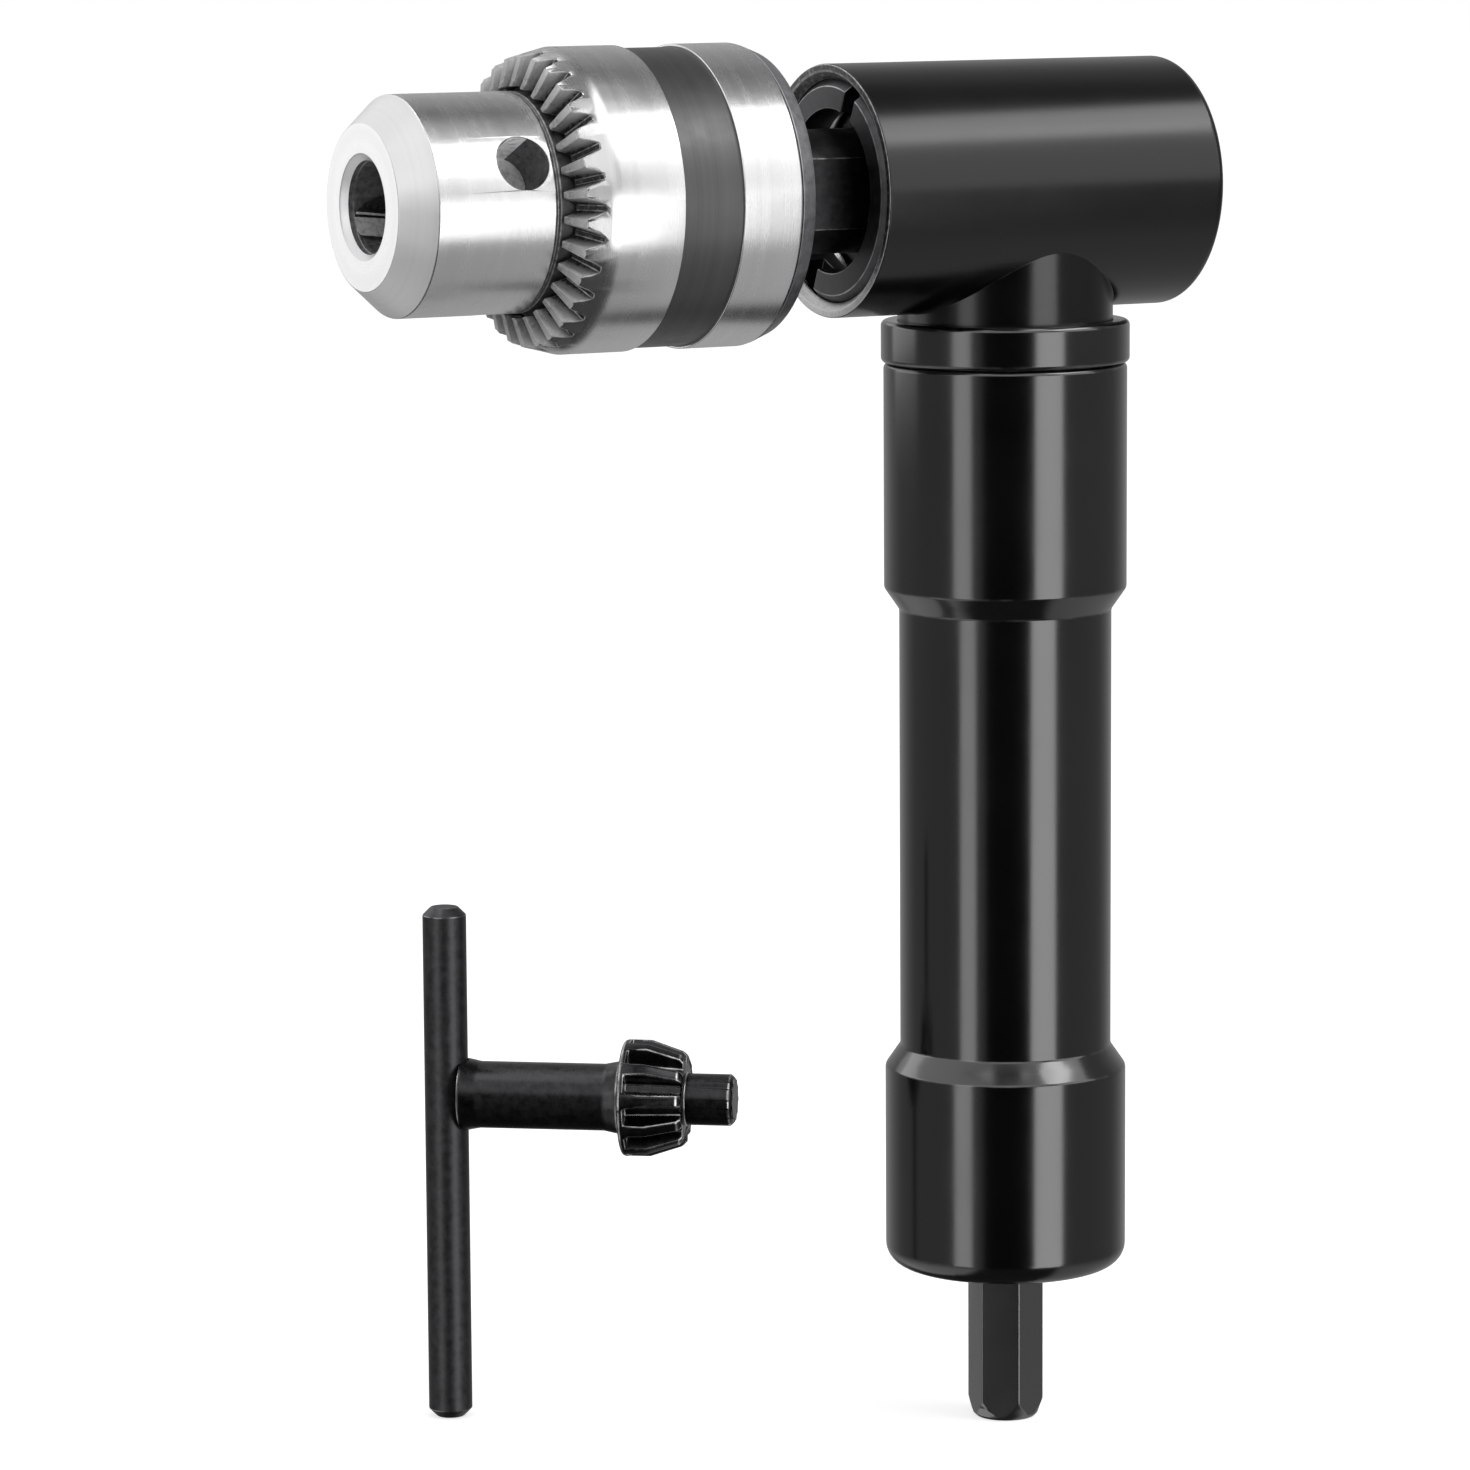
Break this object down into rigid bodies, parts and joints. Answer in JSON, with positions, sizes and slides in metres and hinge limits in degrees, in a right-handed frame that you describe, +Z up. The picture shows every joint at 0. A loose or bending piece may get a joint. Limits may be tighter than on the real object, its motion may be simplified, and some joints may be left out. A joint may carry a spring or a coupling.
{
  "type": "right angle drill attachment",
  "caption": "Right angle drill attachment with a hexagon shank, bevel gear head, three jaw keyed chuck and its separate chuck key.",
  "frame": {"origin": "middle of the hexagon shank's tip face", "axes": "+Z up the handle from the shank to the head, -X out of the chuck's nose, -Y the side that the picture shows"},
  "size_m": [0.1057, 0.0535, 0.167],
  "materials": {
    "housing": "black satin anodised",
    "black_steel": "black oxide",
    "ring_nut": "dark phosphated",
    "bearing_steel": "ground",
    "balls": "polished",
    "cage": "plain",
    "shield": "pressed",
    "spring_steel": "blackened",
    "gear_steel": "cut",
    "chuck_steel": "turned and polished",
    "nut_steel": "plain",
    "jaw_steel": "hardened"
  },
  "bodies": {
    "housing": {"head_housing": "housing", "handle_collar": "housing", "handle_tube": "housing", "front_ring_nut": "ring_nut", "front_bearing_outer": "bearing_steel", "front_bearing_shield": "shield", "rear_bearing_outer": "bearing_steel", "neck_bearing_outer": "bearing_steel", "neck_bearing_clip": "spring_steel", "tail_bearing_outer": "bearing_steel", "tail_bearing_clip": "spring_steel"},
    "spindle": {"output_spindle": "black_steel", "output_gear": "gear_steel", "output_gear_key": "gear_steel", "spindle_spacer": "gear_steel", "front_bearing_inner": "bearing_steel", "rear_bearing_inner": "bearing_steel", "chuck_body": "chuck_steel", "chuck_screw": "black_steel"},
    "input": {"input_shaft": "black_steel", "pinion_gear": "gear_steel", "pinion_key": "gear_steel", "neck_bearing_inner": "bearing_steel", "shaft_clip": "spring_steel", "tail_bearing_inner": "bearing_steel"},
    "sleeve": {"chuck_sleeve": "chuck_steel", "nut_half_front": "nut_steel", "nut_half_rear": "nut_steel"},
    "first_jaw": {"jaw_one": "jaw_steel"},
    "second_jaw": {"jaw_two": "jaw_steel"},
    "third_jaw": {"jaw_three": "jaw_steel"},
    "front_cage": {"front_bearing_balls": "balls", "front_bearing_cage": "cage"},
    "rear_cage": {"rear_bearing_balls": "balls", "rear_bearing_cage": "cage"},
    "neck_cage": {"neck_bearing_balls": "balls", "neck_bearing_cage": "cage"},
    "tail_cage": {"tail_bearing_balls": "balls", "tail_bearing_cage": "cage"},
    "chuck_key": {"key_shank": "black_steel", "key_bar": "black_steel"}
  },
  "joints": [
    {"name": "chuck_spin", "type": "hinge", "parent": "housing", "child": "spindle", "pos_m": [0, 0, 0.1495], "axis": [-1, 0, 0], "continuous": true},
    {"name": "input_spin", "type": "hinge", "parent": "housing", "child": "input", "pos_m": [0, 0, 0], "axis": [0, 0, 1], "continuous": true},
    {"name": "sleeve_turn", "type": "hinge", "parent": "spindle", "child": "sleeve", "pos_m": [0, 0, 0.1495], "axis": [-1, 0, 0], "range_deg": [0, 3203]},
    {"name": "first_jaw_slide", "type": "slide", "parent": "spindle", "child": "first_jaw", "axis": [-0.9659, 0.0271, -0.2574], "range_m": [0, 0.01777]},
    {"name": "second_jaw_slide", "type": "slide", "parent": "spindle", "child": "second_jaw", "axis": [-0.9659, -0.2364, 0.1053], "range_m": [0, 0.01777]},
    {"name": "third_jaw_slide", "type": "slide", "parent": "spindle", "child": "third_jaw", "axis": [-0.9659, 0.2094, 0.1521], "range_m": [0, 0.01777]},
    {"name": "front_cage_roll", "type": "hinge", "parent": "housing", "child": "front_cage", "pos_m": [0, 0, 0.1495], "axis": [-1, 0, 0], "continuous": true},
    {"name": "rear_cage_roll", "type": "hinge", "parent": "housing", "child": "rear_cage", "pos_m": [0, 0, 0.1495], "axis": [-1, 0, 0], "continuous": true},
    {"name": "neck_cage_roll", "type": "hinge", "parent": "housing", "child": "neck_cage", "pos_m": [0, 0, 0], "axis": [0, 0, 1], "continuous": true},
    {"name": "tail_cage_roll", "type": "hinge", "parent": "housing", "child": "tail_cage", "pos_m": [0, 0, 0], "axis": [0, 0, 1], "continuous": true},
    {"name": "key_lift", "type": "slide", "parent": "housing", "child": "chuck_key", "axis": [0, 0.7071, 0.7071], "range_m": [0, 0.085]}
  ],
  "couplings": [
    {"joint": "input_spin", "follows": "chuck_spin", "ratio": 1},
    {"joint": "sleeve_turn", "follows": "first_jaw_slide", "rad_per_m": 3141.6},
    {"joint": "second_jaw_slide", "follows": "first_jaw_slide", "ratio": 1},
    {"joint": "third_jaw_slide", "follows": "first_jaw_slide", "ratio": 1},
    {"joint": "front_cage_roll", "follows": "chuck_spin", "ratio": 0.3678},
    {"joint": "rear_cage_roll", "follows": "chuck_spin", "ratio": 0.368},
    {"joint": "neck_cage_roll", "follows": "chuck_spin", "ratio": 0.368},
    {"joint": "tail_cage_roll", "follows": "chuck_spin", "ratio": 0.368}
  ]
}
